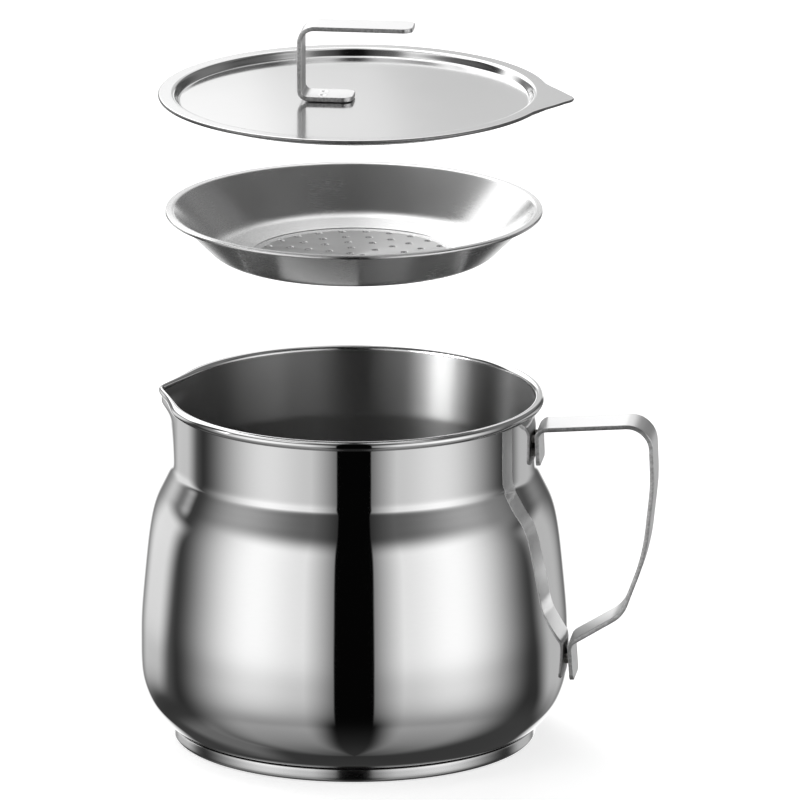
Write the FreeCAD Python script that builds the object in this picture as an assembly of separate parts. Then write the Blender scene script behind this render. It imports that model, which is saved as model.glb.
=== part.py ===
import FreeCAD, Part
import math
import os

V = FreeCAD.Vector
os.makedirs("parts", exist_ok=True)

# Bacon grease container: a bellied stainless pot with a pouring lip and a bent
# strip handle, a drop-in strainer dish and a recessed lid with its own strip
# handle. Millimetres, +Z up. Origin: centre of the underside of the foot.
# +X points along the pot handle, -X along the pouring lip. The strainer and
# the lid are drawn lifted off on the pot's axis.

# ---------------------------------------------------------------- dimensions
SHEET = 0.8                 # wall of the drawn pot
FOOT_R = 67.0               # capsule base cup, outer radius
FOOT_H = 5.0                # height of the cup's wall
FOOT_SHEET = 0.6
CORE_R = 66.1               # heat-spreading disc inside the base
SHELL_FLOOR = 4.7           # underside of the drawn pot

# outer wall of the pot, (radius, height), from the floor to the neck
POT_WALL = [(58.5, 4.7), (61.5, 4.7), (64.0, 4.78), (65.7, 5.07), (67.2, 5.65),
            (68.5, 6.4), (69.6, 7.3), (71.5, 9.3), (73.75, 12.0), (76.1, 15.6),
            (77.7, 19.5), (78.9, 24.5), (79.4, 30.5), (79.45, 37.5), (79.3, 45.5),
            (78.6, 55.5), (77.75, 64.5), (76.8, 73.5), (76.0, 79.5), (75.3, 83.5),
            (74.5, 87.0), (73.4, 90.5), (72.68, 92.3), (71.85, 94.1), (70.95, 95.9),
            (70.05, 97.7), (69.15, 99.5), (68.4, 101.0), (67.9, 102.0), (67.55, 102.8),
            (67.33, 103.6), (67.23, 104.6), (67.2, 106.5)]
NECK_R = 67.2               # outer radius of the neck under the rolled rim
NECK_START = 106.5
NECK_LEVEL = 113.5          # neck is cylindrical above this height
RIM_TOP = 130.1
BEAD_R = 1.85               # radius of the rolled rim bead

# pouring lip at -X: the wall is drawn out to a blunt point
LIP_REACH = 4.9             # how far the inner wall moves out at the point
LIP_HALF_ANGLE = math.radians(20.0)
LIP_FADE_FROM = 106.5       # height where the lip starts to leave the neck
LIP_FADE_TO = 125.0
LIP_BEAD = 0.87             # half width of the flattened bead at the point
LIP_RAISE = 0.3

# pot handle, a bent flat strip
STRIP_T = 1.7
STRIP_W = 16.8
# centre line (x, z) with the bend radius at each corner
HANDLE_PATH = [((69.0, 106.1), 0.0), ((68.45, 119.85), 3.2), ((110.35, 122.9), 9.0),
               ((111.3, 100.5), 70.0), ((108.4, 73.4), 80.0), ((99.95, 50.45), 12.0),
               ((80.65, 38.6), 3.0), ((81.6, 24.6), 0.0)]

# strainer dish, heights below the top face of its rim
STR_SHEET = 0.7
STR_R = 69.4
STR_RIM_T = 1.4
STR_PATH = [((68.6, -0.35), 0.0), ((66.65, -0.35), 1.4), ((50.92, -16.08), 9.5),
            ((38.7, -17.68), 0.7), ((38.1, -18.10), 0.7), ((0.0, -18.10), 0.0)]
HOLE_R = 1.15
# (ring radius, number of holes, angle of the first from +X in degrees)
HOLE_RINGS = [(3.2, 3, 125.6), (10.9, 7, 102.6), (18.9, 13, 103.6), (26.3, 19, 103.6),
              (34.1, 24, 104.1)]

# lid, heights below the top face of its flange
LID_SHEET = 0.8
LID_R = 71.8
LID_RIM_T = 1.4
LID_WELL_R = 64.25          # radius where the wall meets the domed disc
LID_WELL_DEPTH = 3.0
LID_DOME = 0.25             # the disc stands this much higher in the middle
TAB_TIP = 81.0              # pointed tab that covers the pouring lip
LID_STRIP_T = 1.7
LID_STRIP_W = 13.2
LID_BAR_Z = 24.9            # centre line of the grip bar above the flange
LID_LEG_X = -19.4
LID_BAR_END = 22.2
LID_FOOT_END = 0.1
LID_FOOT_GAP = 0.3          # spot welds hold the foot this far off the disc

# heights at which the lifted-off pieces are drawn
STR_REST_Z = 200.1          # top face of the strainer rim
LID_REST_Z = 244.2          # top face of the lid flange


# ------------------------------------------------------------------- helpers
def smooth(s):
    s = min(1.0, max(0.0, s))
    return s * s * (3.0 - 2.0 * s)


def lip_plan(th):
    """1 at the point of the lip, 0 outside it; straight tangent flanks."""
    a = LIP_HALF_ANGLE
    e = math.radians(1.8)
    t = math.sqrt(th * th + e * e) - 0.35 * e
    if t >= a:
        return 0.0
    return (1.0 / math.cos(a - t) - 1.0) / (1.0 / math.cos(a) - 1.0)


def lip_height(z):
    s = (z - LIP_FADE_FROM) / (LIP_FADE_TO - LIP_FADE_FROM)
    s = min(1.0, max(0.0, s))
    return min(1.0, 0.68 * s * s / (s + 0.1) + 0.38 * smooth((s - 0.75) / 0.25))


def curve_through(pts):
    c = Part.BSplineCurve()
    c.interpolate([V(p[0], p[1], 0) for p in pts])
    return c


def sample_with_normals(pts, n):
    """n points on the smooth curve through pts, each with its left normal."""
    c = curve_through(pts)
    out = []
    for q in c.toShape().discretize(Number=n):
        u = c.parameter(q)
        t = c.tangent(u)[0]
        out.append((q.x, q.y, -t.y, t.x))
    return out


def strip_face(path, t):
    """Face of thickness t around a bent centre line, in the (x, z) plane."""
    pts = [p for p, _ in path]
    rad = [r for _, r in path]
    items = []          # ("L", a, b) or ("A", centre, start, mid, end, sign)
    prev = V(pts[0][0], pts[0][1], 0)
    for i in range(1, len(pts) - 1):
        p0, p1, p2 = V(*pts[i - 1], 0), V(*pts[i], 0), V(*pts[i + 1], 0)
        d1, d2 = (p1 - p0).normalize(), (p2 - p1).normalize()
        cr = d1.x * d2.y - d1.y * d2.x
        ang = math.atan2(abs(cr), d1.dot(d2))
        sg = 1.0 if cr > 0 else -1.0
        tl = rad[i] * math.tan(ang / 2.0)
        a, b = p1 - d1 * tl, p1 + d2 * tl
        n1 = V(-d1.y, d1.x, 0) * sg
        c = a + n1 * rad[i]
        m = c + ((p1 - c).normalize()) * rad[i]
        items.append(("L", prev, a))
        items.append(("A", c, a, m, b, sg, rad[i]))
        prev = b
    items.append(("L", prev, V(pts[-1][0], pts[-1][1], 0)))

    def offset(side):
        es = []
        for it in items:
            if it[0] == "L":
                _, a, b = it
                if (b - a).Length < 1e-6:
                    continue
                d = (b - a).normalize()
                n = V(-d.y, d.x, 0) * (side * t / 2.0)
                es.append(Part.makeLine(a + n, b + n))
            else:
                _, c, a, m, b, sg, r = it
                rr = r - side * sg * t / 2.0
                if rr < 1e-6:
                    continue
                q = [c + (p - c).normalize() * rr for p in (a, m, b)]
                es.append(Part.Arc(*q).toShape())
        return es

    left, right = offset(1.0), offset(-1.0)
    ends = []
    ends.append(Part.makeLine(left[0].firstVertex().Point, right[0].firstVertex().Point))
    ends.append(Part.makeLine(left[-1].lastVertex().Point, right[-1].lastVertex().Point))
    w = Part.Wire(Part.__sortEdges__(left + right + ends))
    return Part.Face(w)


def to_xz(face):
    """Turn a face drawn in (x, y) so that its y becomes z."""
    f = face.copy()
    f.rotate(V(0, 0, 0), V(1, 0, 0), 90)
    return f


def revolve(face):
    return to_xz(face).revolve(V(0, 0, 0), V(0, 0, 1), 360)


def bent_strip(path, t, w):
    f = to_xz(strip_face(path, t))
    f.translate(V(0, w / 2.0, 0))
    return f.extrude(V(0, -w, 0))


def largest(shape):
    return max(shape.Solids, key=lambda s: s.Volume)


def save(shape, name):
    shape.exportStep("parts/%s.step" % name)


# ----------------------------------------------------------------- pot shell
N_WALL = 64
N_NECK = 14
N_BEAD = 17
regular = [p for p in sample_with_normals(POT_WALL, N_WALL)]


def neck_radius(z):
    s = (z - NECK_START) / (NECK_LEVEL - NECK_START)
    return NECK_R + (POT_WALL[-1][0] - NECK_R) * (1.0 - min(1.0, s)) ** 2


def section(th):
    """Outer wall, bead and inner wall at the angle th from the lip."""
    g = lip_plan(th)
    wide = 1.0 - smooth((abs(th) - math.radians(7.0)) / math.radians(21.0))
    a = BEAD_R - (BEAD_R - LIP_BEAD) * wide
    b = BEAD_R - 0.45 * wide
    zc = RIM_TOP - b + LIP_RAISE * g
    r_in = NECK_R - SHEET + LIP_REACH * g
    r_out = r_in + SHEET
    rc = r_in + a
    f0 = -math.acos(max(-1.0, min(1.0, (r_out - rc) / a)))
    zj = zc + b * math.sin(f0)
    outer = [(r, z) for r, z, _, _ in regular]
    for i in range(1, N_NECK + 1):
        z = NECK_START + (zj - NECK_START) * i / N_NECK
        r = neck_radius(z) + LIP_REACH * g * lip_height(z)
        if i == N_NECK:
            r = r_out
        outer.append((r, z))
    bead = []
    for i in range(N_BEAD):
        f = f0 + (math.pi - f0) * i / (N_BEAD - 1)
        bead.append((rc + a * math.cos(f), zc + b * math.sin(f)))
    inner = []
    for i in range(N_NECK):
        z = zc + (NECK_START - zc) * i / N_NECK
        r = neck_radius(z) - SHEET + LIP_REACH * g * lip_height(z)
        if i == 0:
            r = r_in
        inner.append((r, z))
    for r, z, nx, nz in reversed(regular):
        inner.append((r + nx * SHEET, z + nz * SHEET))
    return outer, bead, inner


def spline(points, params):
    c = Part.BSplineCurve()
    c.interpolate(Points=points, Parameters=params)
    return c


def patch(rows, us, vs):
    """Tensor-product spline surface through a grid, so that patches that
    share a row of points share that edge exactly."""
    first = [spline(r, vs) for r in rows]
    net = [c.getPoles() for c in first]
    cols = [spline([net[i][b] for i in range(len(rows))], us) for b in range(len(net[0]))]
    poles = [[cols[b].getPoles()[a] for b in range(len(cols))] for a in range(cols[0].NbPoles)]
    s = Part.BSplineSurface()
    s.buildFromPolesMultsKnots(poles, cols[0].getMultiplicities(), first[0].getMultiplicities(),
                               cols[0].getKnots(), first[0].getKnots(), False, False, 3, 3)
    return s.toShape()


def half_angles(spout_side):
    if not spout_side:
        return [math.radians(-90.0 + 6.0 * i) for i in range(31)]
    out = [90.0, 97.0, 104.0, 111.0, 118.0, 125.0, 132.0, 139.0, 145.0, 149.0]
    v = 152.0
    while v < 173.9:
        out.append(v)
        v += 2.0
    out += [174.0, 176.0, 177.5, 178.7, 180.0]
    out += [360.0 - v for v in reversed(out[:-1])]
    return [math.radians(v) for v in out]


faces = []
for spout_side in (True, False):
    ang = half_angles(spout_side)
    cols = [section(a - math.pi if spout_side else math.pi) for a in ang]
    for k in range(3):
        rows = [[V(r * math.cos(a), r * math.sin(a), z) for r, z in col[k]]
                for a, col in zip(ang, cols)]
        if abs(rows[0][0].x) < 1.0:      # both halves meet on exactly the same line
            for r in (rows[0], rows[-1]):
                for q in r:
                    q.x = 0.0
        faces.append(patch(rows, [a - ang[0] for a in ang],
                           [float(i) for i in range(len(rows[0]))]))


def ring_edges(z, r, tol=0.02):
    es = []
    for f in faces:
        for e in f.Edges:
            bb = e.BoundBox
            if abs(bb.ZMin - z) < tol and abs(bb.ZMax - z) < tol and abs(bb.YMax - bb.YMin) > r:
                es.append(e)
    return es


first = regular[0]
floor_out = Part.Face(Part.Wire(Part.__sortEdges__(ring_edges(first[1], 50.0))))
floor_in = Part.Face(Part.Wire(Part.__sortEdges__(ring_edges(first[1] + first[3] * SHEET, 50.0))))
sew = Part.makeShell(faces + [floor_out, floor_in])
sew.sewShape()
pot_shell = Part.Solid(sew if isinstance(sew, Part.Shell) else sew.Shells[0])
if pot_shell.Volume < 0:
    pot_shell.reverse()

# -------------------------------------------------------------- capsule base
cap_path = [((0.0, FOOT_SHEET / 2), 0.0),
            ((FOOT_R - FOOT_SHEET / 2, FOOT_SHEET / 2), 1.5),
            ((FOOT_R - FOOT_SHEET / 2, FOOT_H), 0.0)]
base_cap = revolve(strip_face(cap_path, FOOT_SHEET))
core = Part.makeCylinder(CORE_R, SHELL_FLOOR - 0.05 - (FOOT_SHEET + 0.03), V(0, 0, FOOT_SHEET + 0.03))
low = [e for e in core.Edges if e.BoundBox.ZMax < FOOT_SHEET + 0.1 and e.BoundBox.XMax > 50]
base_core = core.makeFillet(1.3, low)

# ---------------------------------------------------------------- pot handle
pot_handle = bent_strip(HANDLE_PATH, STRIP_T, STRIP_W)
ends = []
for e in pot_handle.Edges:
    bb = e.BoundBox
    flat = bb.YLength < 0.01 and bb.ZLength < 0.2
    if flat and bb.XLength > 1.0 and (bb.ZMax < 26.0 or abs(bb.ZMax - HANDLE_PATH[0][0][1]) < 0.5):
        ends.append(e)
pot_handle = pot_handle.makeFillet(2.2, ends)

# weld spots between the handle tabs and the pot; their faces follow the wall
def wall_radius(z):
    c = curve_through(POT_WALL)
    lo, hi = c.FirstParameter, c.LastParameter
    for _ in range(50):
        m = (lo + hi) / 2
        if c.value(m).y < z:
            lo = m
        else:
            hi = m
    return c.value(lo).x


def weld_spots(zs, ys, x0, x1, r, wall_r):
    """Nuggets that fill the gap between the wall and the handle's tab."""
    out = []
    wall = Part.makeCylinder(wall_r, 40, V(0, 0, zs[0] - 20))
    tab = pot_handle.copy()
    tab.translate(V(-0.02, 0, 0))
    for z in zs:
        for y in ys:
            w = Part.makeCylinder(r, x1 - x0, V(x0, y, z), V(1, 0, 0)).cut(wall).cut(tab)
            out.append(min(w.Solids, key=lambda q: q.CenterOfMass.x))
    return Part.makeCompound(out)


handle_upper_welds = weld_spots([110.5, 115.5], [-4.0, 4.0], 66.0, 68.5, 1.5, neck_radius(109.0) + 0.03)
handle_lower_welds = weld_spots([32.0], [-4.0, 4.0], 78.0, 80.9, 1.8, wall_radius(32.0) + 0.06)

# ------------------------------------------------------------- strainer dish
dish = revolve(strip_face(STR_PATH, STR_SHEET))
hem = Part.makeCylinder(STR_R, STR_RIM_T, V(0, 0, -STR_RIM_T)).cut(
    Part.makeCylinder(67.5, 4, V(0, 0, -3)))
hem = hem.makeFillet(0.6, [e for e in hem.Edges
                           if e.BoundBox.XMax > STR_R - 0.01 and e.BoundBox.ZLength < 0.01])
dish = dish.fuse(hem).removeSplitter()
holes = []
for rad, n, phase in HOLE_RINGS:
    for k in range(n):
        a = math.radians(phase + 360.0 * k / n)
        holes.append(Part.makeCylinder(HOLE_R, 3.0, V(rad * math.cos(a), rad * math.sin(a), -19.5)))
strainer_dish = largest(dish.cut(Part.makeCompound(holes)))
strainer_dish.translate(V(0, 0, STR_REST_Z))

# ----------------------------------------------------------------- lid plate
DOME_R = (LID_WELL_R ** 2 + LID_DOME ** 2) / (2 * LID_DOME)
dome_top = -LID_WELL_DEPTH + LID_DOME           # upper face at the centre
dome_mid = dome_top - LID_SHEET / 2
dome_c = dome_mid - DOME_R


def dome_z(r):
    return dome_c + math.sqrt(DOME_R ** 2 - r * r)


JOIN = 60.0
zj, sj = dome_z(JOIN), -JOIN / math.sqrt(DOME_R ** 2 - JOIN ** 2)
corner_r = LID_WELL_R + 0.25
lid_path = [((71.0, -LID_SHEET / 2), 0.0), ((66.3, -LID_SHEET / 2), 1.4),
            ((corner_r, zj + sj * (corner_r - JOIN)), 1.5), ((JOIN, zj), 0.0)]
rim = revolve(strip_face(lid_path, LID_SHEET))


def on_dome(r_mid, off):
    a = math.asin(r_mid / DOME_R)
    return V((DOME_R + off) * math.sin(a), dome_c + (DOME_R + off) * math.cos(a), 0)


h = LID_SHEET / 2
top = Part.Arc(on_dome(0, h), on_dome(JOIN / 2, h), on_dome(JOIN, h)).toShape()
bot = Part.Arc(on_dome(0, -h), on_dome(JOIN / 2, -h), on_dome(JOIN, -h)).toShape()
disc = revolve(Part.Face(Part.Wire(Part.__sortEdges__([
    top, bot, Part.makeLine(on_dome(0, h), on_dome(0, -h)),
    Part.makeLine(on_dome(JOIN, h), on_dome(JOIN, -h))]))))
edge = Part.makeCylinder(LID_R, LID_RIM_T, V(0, 0, -LID_RIM_T)).cut(
    Part.makeCylinder(69.9, 4, V(0, 0, -3)))
edge = edge.makeFillet(0.62, [e for e in edge.Edges
                              if e.BoundBox.XMax > LID_R - 0.01 and e.BoundBox.ZLength < 0.01])

# plan of the tab: concave roots, near-straight flanks, small round point
ta = math.radians(20.5)
root = V(70.9 * math.cos(ta), 70.9 * math.sin(ta), 0)
flank = Part.BSplineCurve()
flank.interpolate([root, V(68.6, 21.35, 0), V(70.7, 17.75, 0), V(73.7, 13.05, 0), V(76.7, 8.45, 0),
                   V(79.4, 4.1, 0)],
                  InitialTangent=V(0.36, -1.0, 0), FinalTangent=V(0.63, -0.78, 0))
fl = flank.toShape()
fr = fl.mirror(V(0, 0, 0), V(0, 1, 0))
point = Part.Arc(V(79.4, 4.1, 0), V(TAB_TIP, 0, 0), V(79.4, -4.1, 0)).toShape()
back = Part.makeLine(V(root.x, root.y, 0), V(root.x, -root.y, 0))
tab = Part.Face(Part.Wire(Part.__sortEdges__([fl, point, fr, back]))).extrude(V(0, 0, -1.0))
rim_edges = [e for e in tab.Edges if e.BoundBox.ZLength < 0.01 and e.BoundBox.XMax > root.x + 1.0]
try:
    tab = tab.makeFillet(0.4, rim_edges)
except Exception:
    pass
lid_plate = rim.fuse([disc, edge, tab.common(Part.makeBox(40, 80, 6, V(65.6, -40, -3)))])
lid_plate = largest(lid_plate)
lid_plate.translate(V(0, 0, LID_REST_Z))

# ---------------------------------------------------------------- lid handle
foot_z = dome_top + LID_FOOT_GAP + LID_STRIP_T / 2
lid_handle_path = [((LID_FOOT_END, foot_z), 0.0), ((LID_LEG_X, foot_z), 3.1),
                   ((LID_LEG_X, LID_BAR_Z), 5.4), ((LID_BAR_END, LID_BAR_Z), 0.0)]
lid_handle = bent_strip(lid_handle_path, LID_STRIP_T, LID_STRIP_W)
ends = []
for e in lid_handle.Edges:
    bb = e.BoundBox
    if bb.YLength < 0.01 and bb.XLength < 0.01 and 1.0 < bb.ZLength < 3.0 and (
            bb.XMax > LID_BAR_END - 0.1 or abs(bb.XMax - LID_FOOT_END) < 0.1):
        ends.append(e)
lid_handle = lid_handle.makeFillet(3.9, ends)
lid_handle.translate(V(0, 0, LID_REST_Z))
welds = []
for y in (-2.7, 2.7):
    p = Part.makeCylinder(1.7, LID_FOOT_GAP - 0.04, V(-11.0, y, dome_top + 0.0))
    welds.append(p)
lid_handle_welds = Part.makeCompound(welds)
lid_handle_welds.translate(V(0, 0, LID_REST_Z + 0.02))

for name, shp in (("pot_shell", pot_shell), ("base_core", base_core), ("base_cap", base_cap),
                  ("pot_handle", pot_handle), ("handle_upper_welds", handle_upper_welds),
                  ("handle_lower_welds", handle_lower_welds), ("strainer_dish", strainer_dish),
                  ("lid_plate", lid_plate), ("lid_handle", lid_handle),
                  ("lid_handle_welds", lid_handle_welds)):
    save(shp, name)
    print(name, "valid", shp.isValid(), "solids", len(shp.Solids), "volume", round(shp.Volume, 1),
          "box", [round(v, 2) for v in (shp.BoundBox.XMin, shp.BoundBox.YMin, shp.BoundBox.ZMin,
                                        shp.BoundBox.XMax, shp.BoundBox.YMax, shp.BoundBox.ZMax)])
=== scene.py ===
import math

import bpy
import numpy as np
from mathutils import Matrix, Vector, geometry


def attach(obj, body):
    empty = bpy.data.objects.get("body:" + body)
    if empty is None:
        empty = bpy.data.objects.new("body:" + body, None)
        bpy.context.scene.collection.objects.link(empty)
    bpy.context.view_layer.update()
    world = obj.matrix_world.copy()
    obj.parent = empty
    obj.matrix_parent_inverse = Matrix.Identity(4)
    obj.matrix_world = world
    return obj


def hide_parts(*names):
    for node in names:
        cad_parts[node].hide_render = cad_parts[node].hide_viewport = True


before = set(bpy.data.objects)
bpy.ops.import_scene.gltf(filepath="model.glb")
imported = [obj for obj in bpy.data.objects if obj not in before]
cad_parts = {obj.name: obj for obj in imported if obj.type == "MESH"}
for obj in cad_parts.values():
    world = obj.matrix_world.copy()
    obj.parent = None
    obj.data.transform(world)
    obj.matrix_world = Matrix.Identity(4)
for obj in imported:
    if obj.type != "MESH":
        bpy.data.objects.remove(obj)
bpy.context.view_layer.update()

MM = 0.001
AZ, EL = math.radians(6.6), math.radians(15.3)      # the camera's direction
STR_Z, LID_Z = 200.1, 244.2                         # rim tops of the lifted pieces


# ------------------------------------------------------------------- helpers
def smooth(s):
    s = min(1.0, max(0.0, s))
    return s * s * (3.0 - 2.0 * s)


def natural_spline(pts):
    """Cubic through the points by chord length; returns f(u) and the length."""
    p = np.array(pts, float)
    t = np.concatenate([[0.0], np.cumsum(np.linalg.norm(np.diff(p, axis=0), axis=1))])
    n, h = len(t), np.diff(t)
    a, b = np.zeros((n, n)), np.zeros((n, p.shape[1]))
    a[0, 0] = a[-1, -1] = 1.0
    for i in range(1, n - 1):
        a[i, i - 1], a[i, i], a[i, i + 1] = h[i - 1], 2 * (h[i - 1] + h[i]), h[i]
        b[i] = 6 * ((p[i + 1] - p[i]) / h[i] - (p[i] - p[i - 1]) / h[i - 1])
    m = np.linalg.solve(a, b)

    def at(u):
        u = np.clip(np.asarray(u, float), 0, t[-1])
        i = np.clip(np.searchsorted(t, u, side="right") - 1, 0, n - 2)
        hi, x = h[i][:, None], (u - t[i])[:, None]
        y = (t[i + 1] - u)[:, None]
        return (m[i] * y ** 3 + m[i + 1] * x ** 3) / (6 * hi) + (
            p[i] / hi - m[i] * hi / 6) * y + (p[i + 1] / hi - m[i + 1] * hi / 6) * x
    return at, t[-1]


def even_samples(pts, n):
    """n evenly spaced points on the spline, each with its left normal."""
    at, length = natural_spline(pts)
    u = np.linspace(0, length, 4001)
    q = at(u)
    s = np.concatenate([[0.0], np.cumsum(np.linalg.norm(np.diff(q, axis=0), axis=1))])
    ui = np.interp(np.linspace(0, s[-1], n), s, u)
    c = at(ui)
    d = at(np.clip(ui + 0.01, 0, length)) - at(np.clip(ui - 0.01, 0, length))
    d /= np.linalg.norm(d, axis=1)[:, None]
    return np.column_stack([c, -d[:, 1], d[:, 0]])


def bent_line(path, step=0.6, turn=5.0):
    """Points (x, z, nx, nz, distance) along a bent centre line with filleted corners."""
    out = []

    def add(p, d):
        out.append((p[0], p[1], -d[1], d[0]))

    pts = [np.array(p, float) for p, _ in path]
    rad = [r for _, r in path]
    prev = pts[0]
    for i in range(1, len(pts)):
        d1 = (pts[i] - pts[i - 1]) / np.linalg.norm(pts[i] - pts[i - 1])
        if i == len(pts) - 1:
            end = pts[i]
        else:
            d2 = (pts[i + 1] - pts[i]) / np.linalg.norm(pts[i + 1] - pts[i])
            cr = d1[0] * d2[1] - d1[1] * d2[0]
            ang = math.atan2(abs(cr), float(d1 @ d2))
            tl = rad[i] * math.tan(ang / 2)
            end = pts[i] - d1 * tl
        n = max(1, int(math.ceil(np.linalg.norm(end - prev) / step)))
        for k in range(n + 1):
            if out and k == 0 and i > 1:
                continue
            add(prev + (end - prev) * k / n, d1)
        if i < len(pts) - 1:
            sg = 1.0 if cr > 0 else -1.0
            c = end + sg * rad[i] * np.array([-d1[1], d1[0]])
            m = max(3, int(math.ceil(math.degrees(ang) / turn)), int(math.ceil(rad[i] * ang / step)))
            for k in range(1, m + 1):
                a = sg * ang * k / m
                d = np.array([d1[0] * math.cos(a) - d1[1] * math.sin(a),
                              d1[0] * math.sin(a) + d1[1] * math.cos(a)])
                add(c - sg * rad[i] * np.array([-d[1], d[0]]), d)
            prev = pts[i] + d2 * tl
    arr = np.array(out)
    s = np.concatenate([[0.0], np.cumsum(np.linalg.norm(np.diff(arr[:, :2], axis=0), axis=1))])
    return np.column_stack([arr, s])


class Builder:
    """Collects points and faces, in millimetres, into one smooth mesh piece."""

    def __init__(self):
        self.v, self.f, self.run = [], [], []

    def points(self, pts, run=(0.0, 0.0, 1.0)):
        """run: the direction in which the metal was worked at these points."""
        k = len(self.v)
        self.v.extend([tuple(p) for p in pts])
        self.run.extend([run] * len(pts))
        return list(range(k, k + len(pts)))

    def grid(self, rows, close_rows=False, close_cols=False):
        """rows: lists of point indices, all of one length."""
        n, m = len(rows), len(rows[0])
        for i in range(n if close_rows else n - 1):
            a, b = rows[i], rows[(i + 1) % n]
            for j in range(m if close_cols else m - 1):
                q = (a[j], a[(j + 1) % m], b[(j + 1) % m], b[j])
                if len(set(q)) >= 3:
                    self.f.append(tuple(dict.fromkeys(q)))

    def fan(self, centre, ring):
        for i in range(len(ring)):
            self.f.append((centre, ring[i], ring[(i + 1) % len(ring)]))

    def make(self, name, body, nodes, slot, material):
        me = bpy.data.meshes.new(name)
        me.from_pydata([(x * MM, y * MM, z * MM) for x, y, z in self.v], [], self.f)
        if any(q[0] for q in self.run):
            a = me.attributes.new("run", "FLOAT_VECTOR", "POINT")
            a.data.foreach_set("vector", [c for q in self.run for c in q])
        me.validate()
        import bmesh
        bm = bmesh.new()
        bm.from_mesh(me)
        bmesh.ops.remove_doubles(bm, verts=bm.verts, dist=1e-7)
        loose = [v for v in bm.verts if not v.link_faces]
        bmesh.ops.delete(bm, geom=loose, context="VERTS")
        bmesh.ops.recalc_face_normals(bm, faces=bm.faces)
        bm.to_mesh(me)
        bm.free()
        me.polygons.foreach_set("use_smooth", [True] * len(me.polygons))
        me.materials.append(material)
        me.update()
        o = bpy.data.objects.new(name, me)
        bpy.context.scene.collection.objects.link(o)
        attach(o, body)
        if nodes:
            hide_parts(*nodes)
        return o


# ----------------------------------------------------------------- materials
class Nodes:
    """Short names for building a node tree."""

    def __init__(self, tree):
        self.t = tree
        tree.nodes.clear()

    def new(self, kind, **props):
        n = self.t.nodes.new(kind)
        for k, v in props.items():
            setattr(n, k, v)
        return n

    def link(self, a, b):
        self.t.links.new(a, b)

    def put(self, socket, value):
        if hasattr(value, "is_output") or hasattr(value, "links"):
            self.link(value, socket)
        else:
            socket.default_value = value

    def math(self, op, a, b=None, c=None, clamp=False):
        n = self.new("ShaderNodeMath", operation=op, use_clamp=clamp)
        for i, x in enumerate((a, b, c)):
            if x is not None:
                self.put(n.inputs[i], x)
        return n.outputs[0]

    def vmath(self, op, a, b=None):
        n = self.new("ShaderNodeVectorMath", operation=op)
        self.put(n.inputs[0], a)
        if b is not None:
            self.put(n.inputs[1], b)
        return n.outputs["Value"] if op in ("DOT_PRODUCT", "LENGTH") else n.outputs[0]

    def ramp(self, value, lo, hi, out_lo=0.0, out_hi=1.0, kind="SMOOTHSTEP"):
        n = self.new("ShaderNodeMapRange", interpolation_type=kind)
        self.put(n.inputs["Value"], value)
        n.inputs["From Min"].default_value = lo
        n.inputs["From Max"].default_value = hi
        n.inputs["To Min"].default_value = out_lo
        n.inputs["To Max"].default_value = out_hi
        return n.outputs["Result"]

    def noise(self, vec, scale, detail=2.0, rough=0.5, distortion=0.0):
        n = self.new("ShaderNodeTexNoise")
        self.put(n.inputs["Vector"], vec)
        n.inputs["Scale"].default_value = scale
        n.inputs["Detail"].default_value = detail
        n.inputs["Roughness"].default_value = rough
        n.inputs["Distortion"].default_value = distortion
        return n.outputs["Fac"]

    def combine(self, x, y, z):
        n = self.new("ShaderNodeCombineXYZ")
        for i, v in enumerate((x, y, z)):
            self.put(n.inputs[i], v)
        return n.outputs[0]

    def bump(self, height, distance, normal=None):
        n = self.new("ShaderNodeBump")
        n.inputs["Strength"].default_value = 1.0
        n.inputs["Distance"].default_value = distance
        self.put(n.inputs["Height"], height)
        if normal is not None:
            self.put(n.inputs["Normal"], normal)
        return n.outputs["Normal"]


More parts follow.
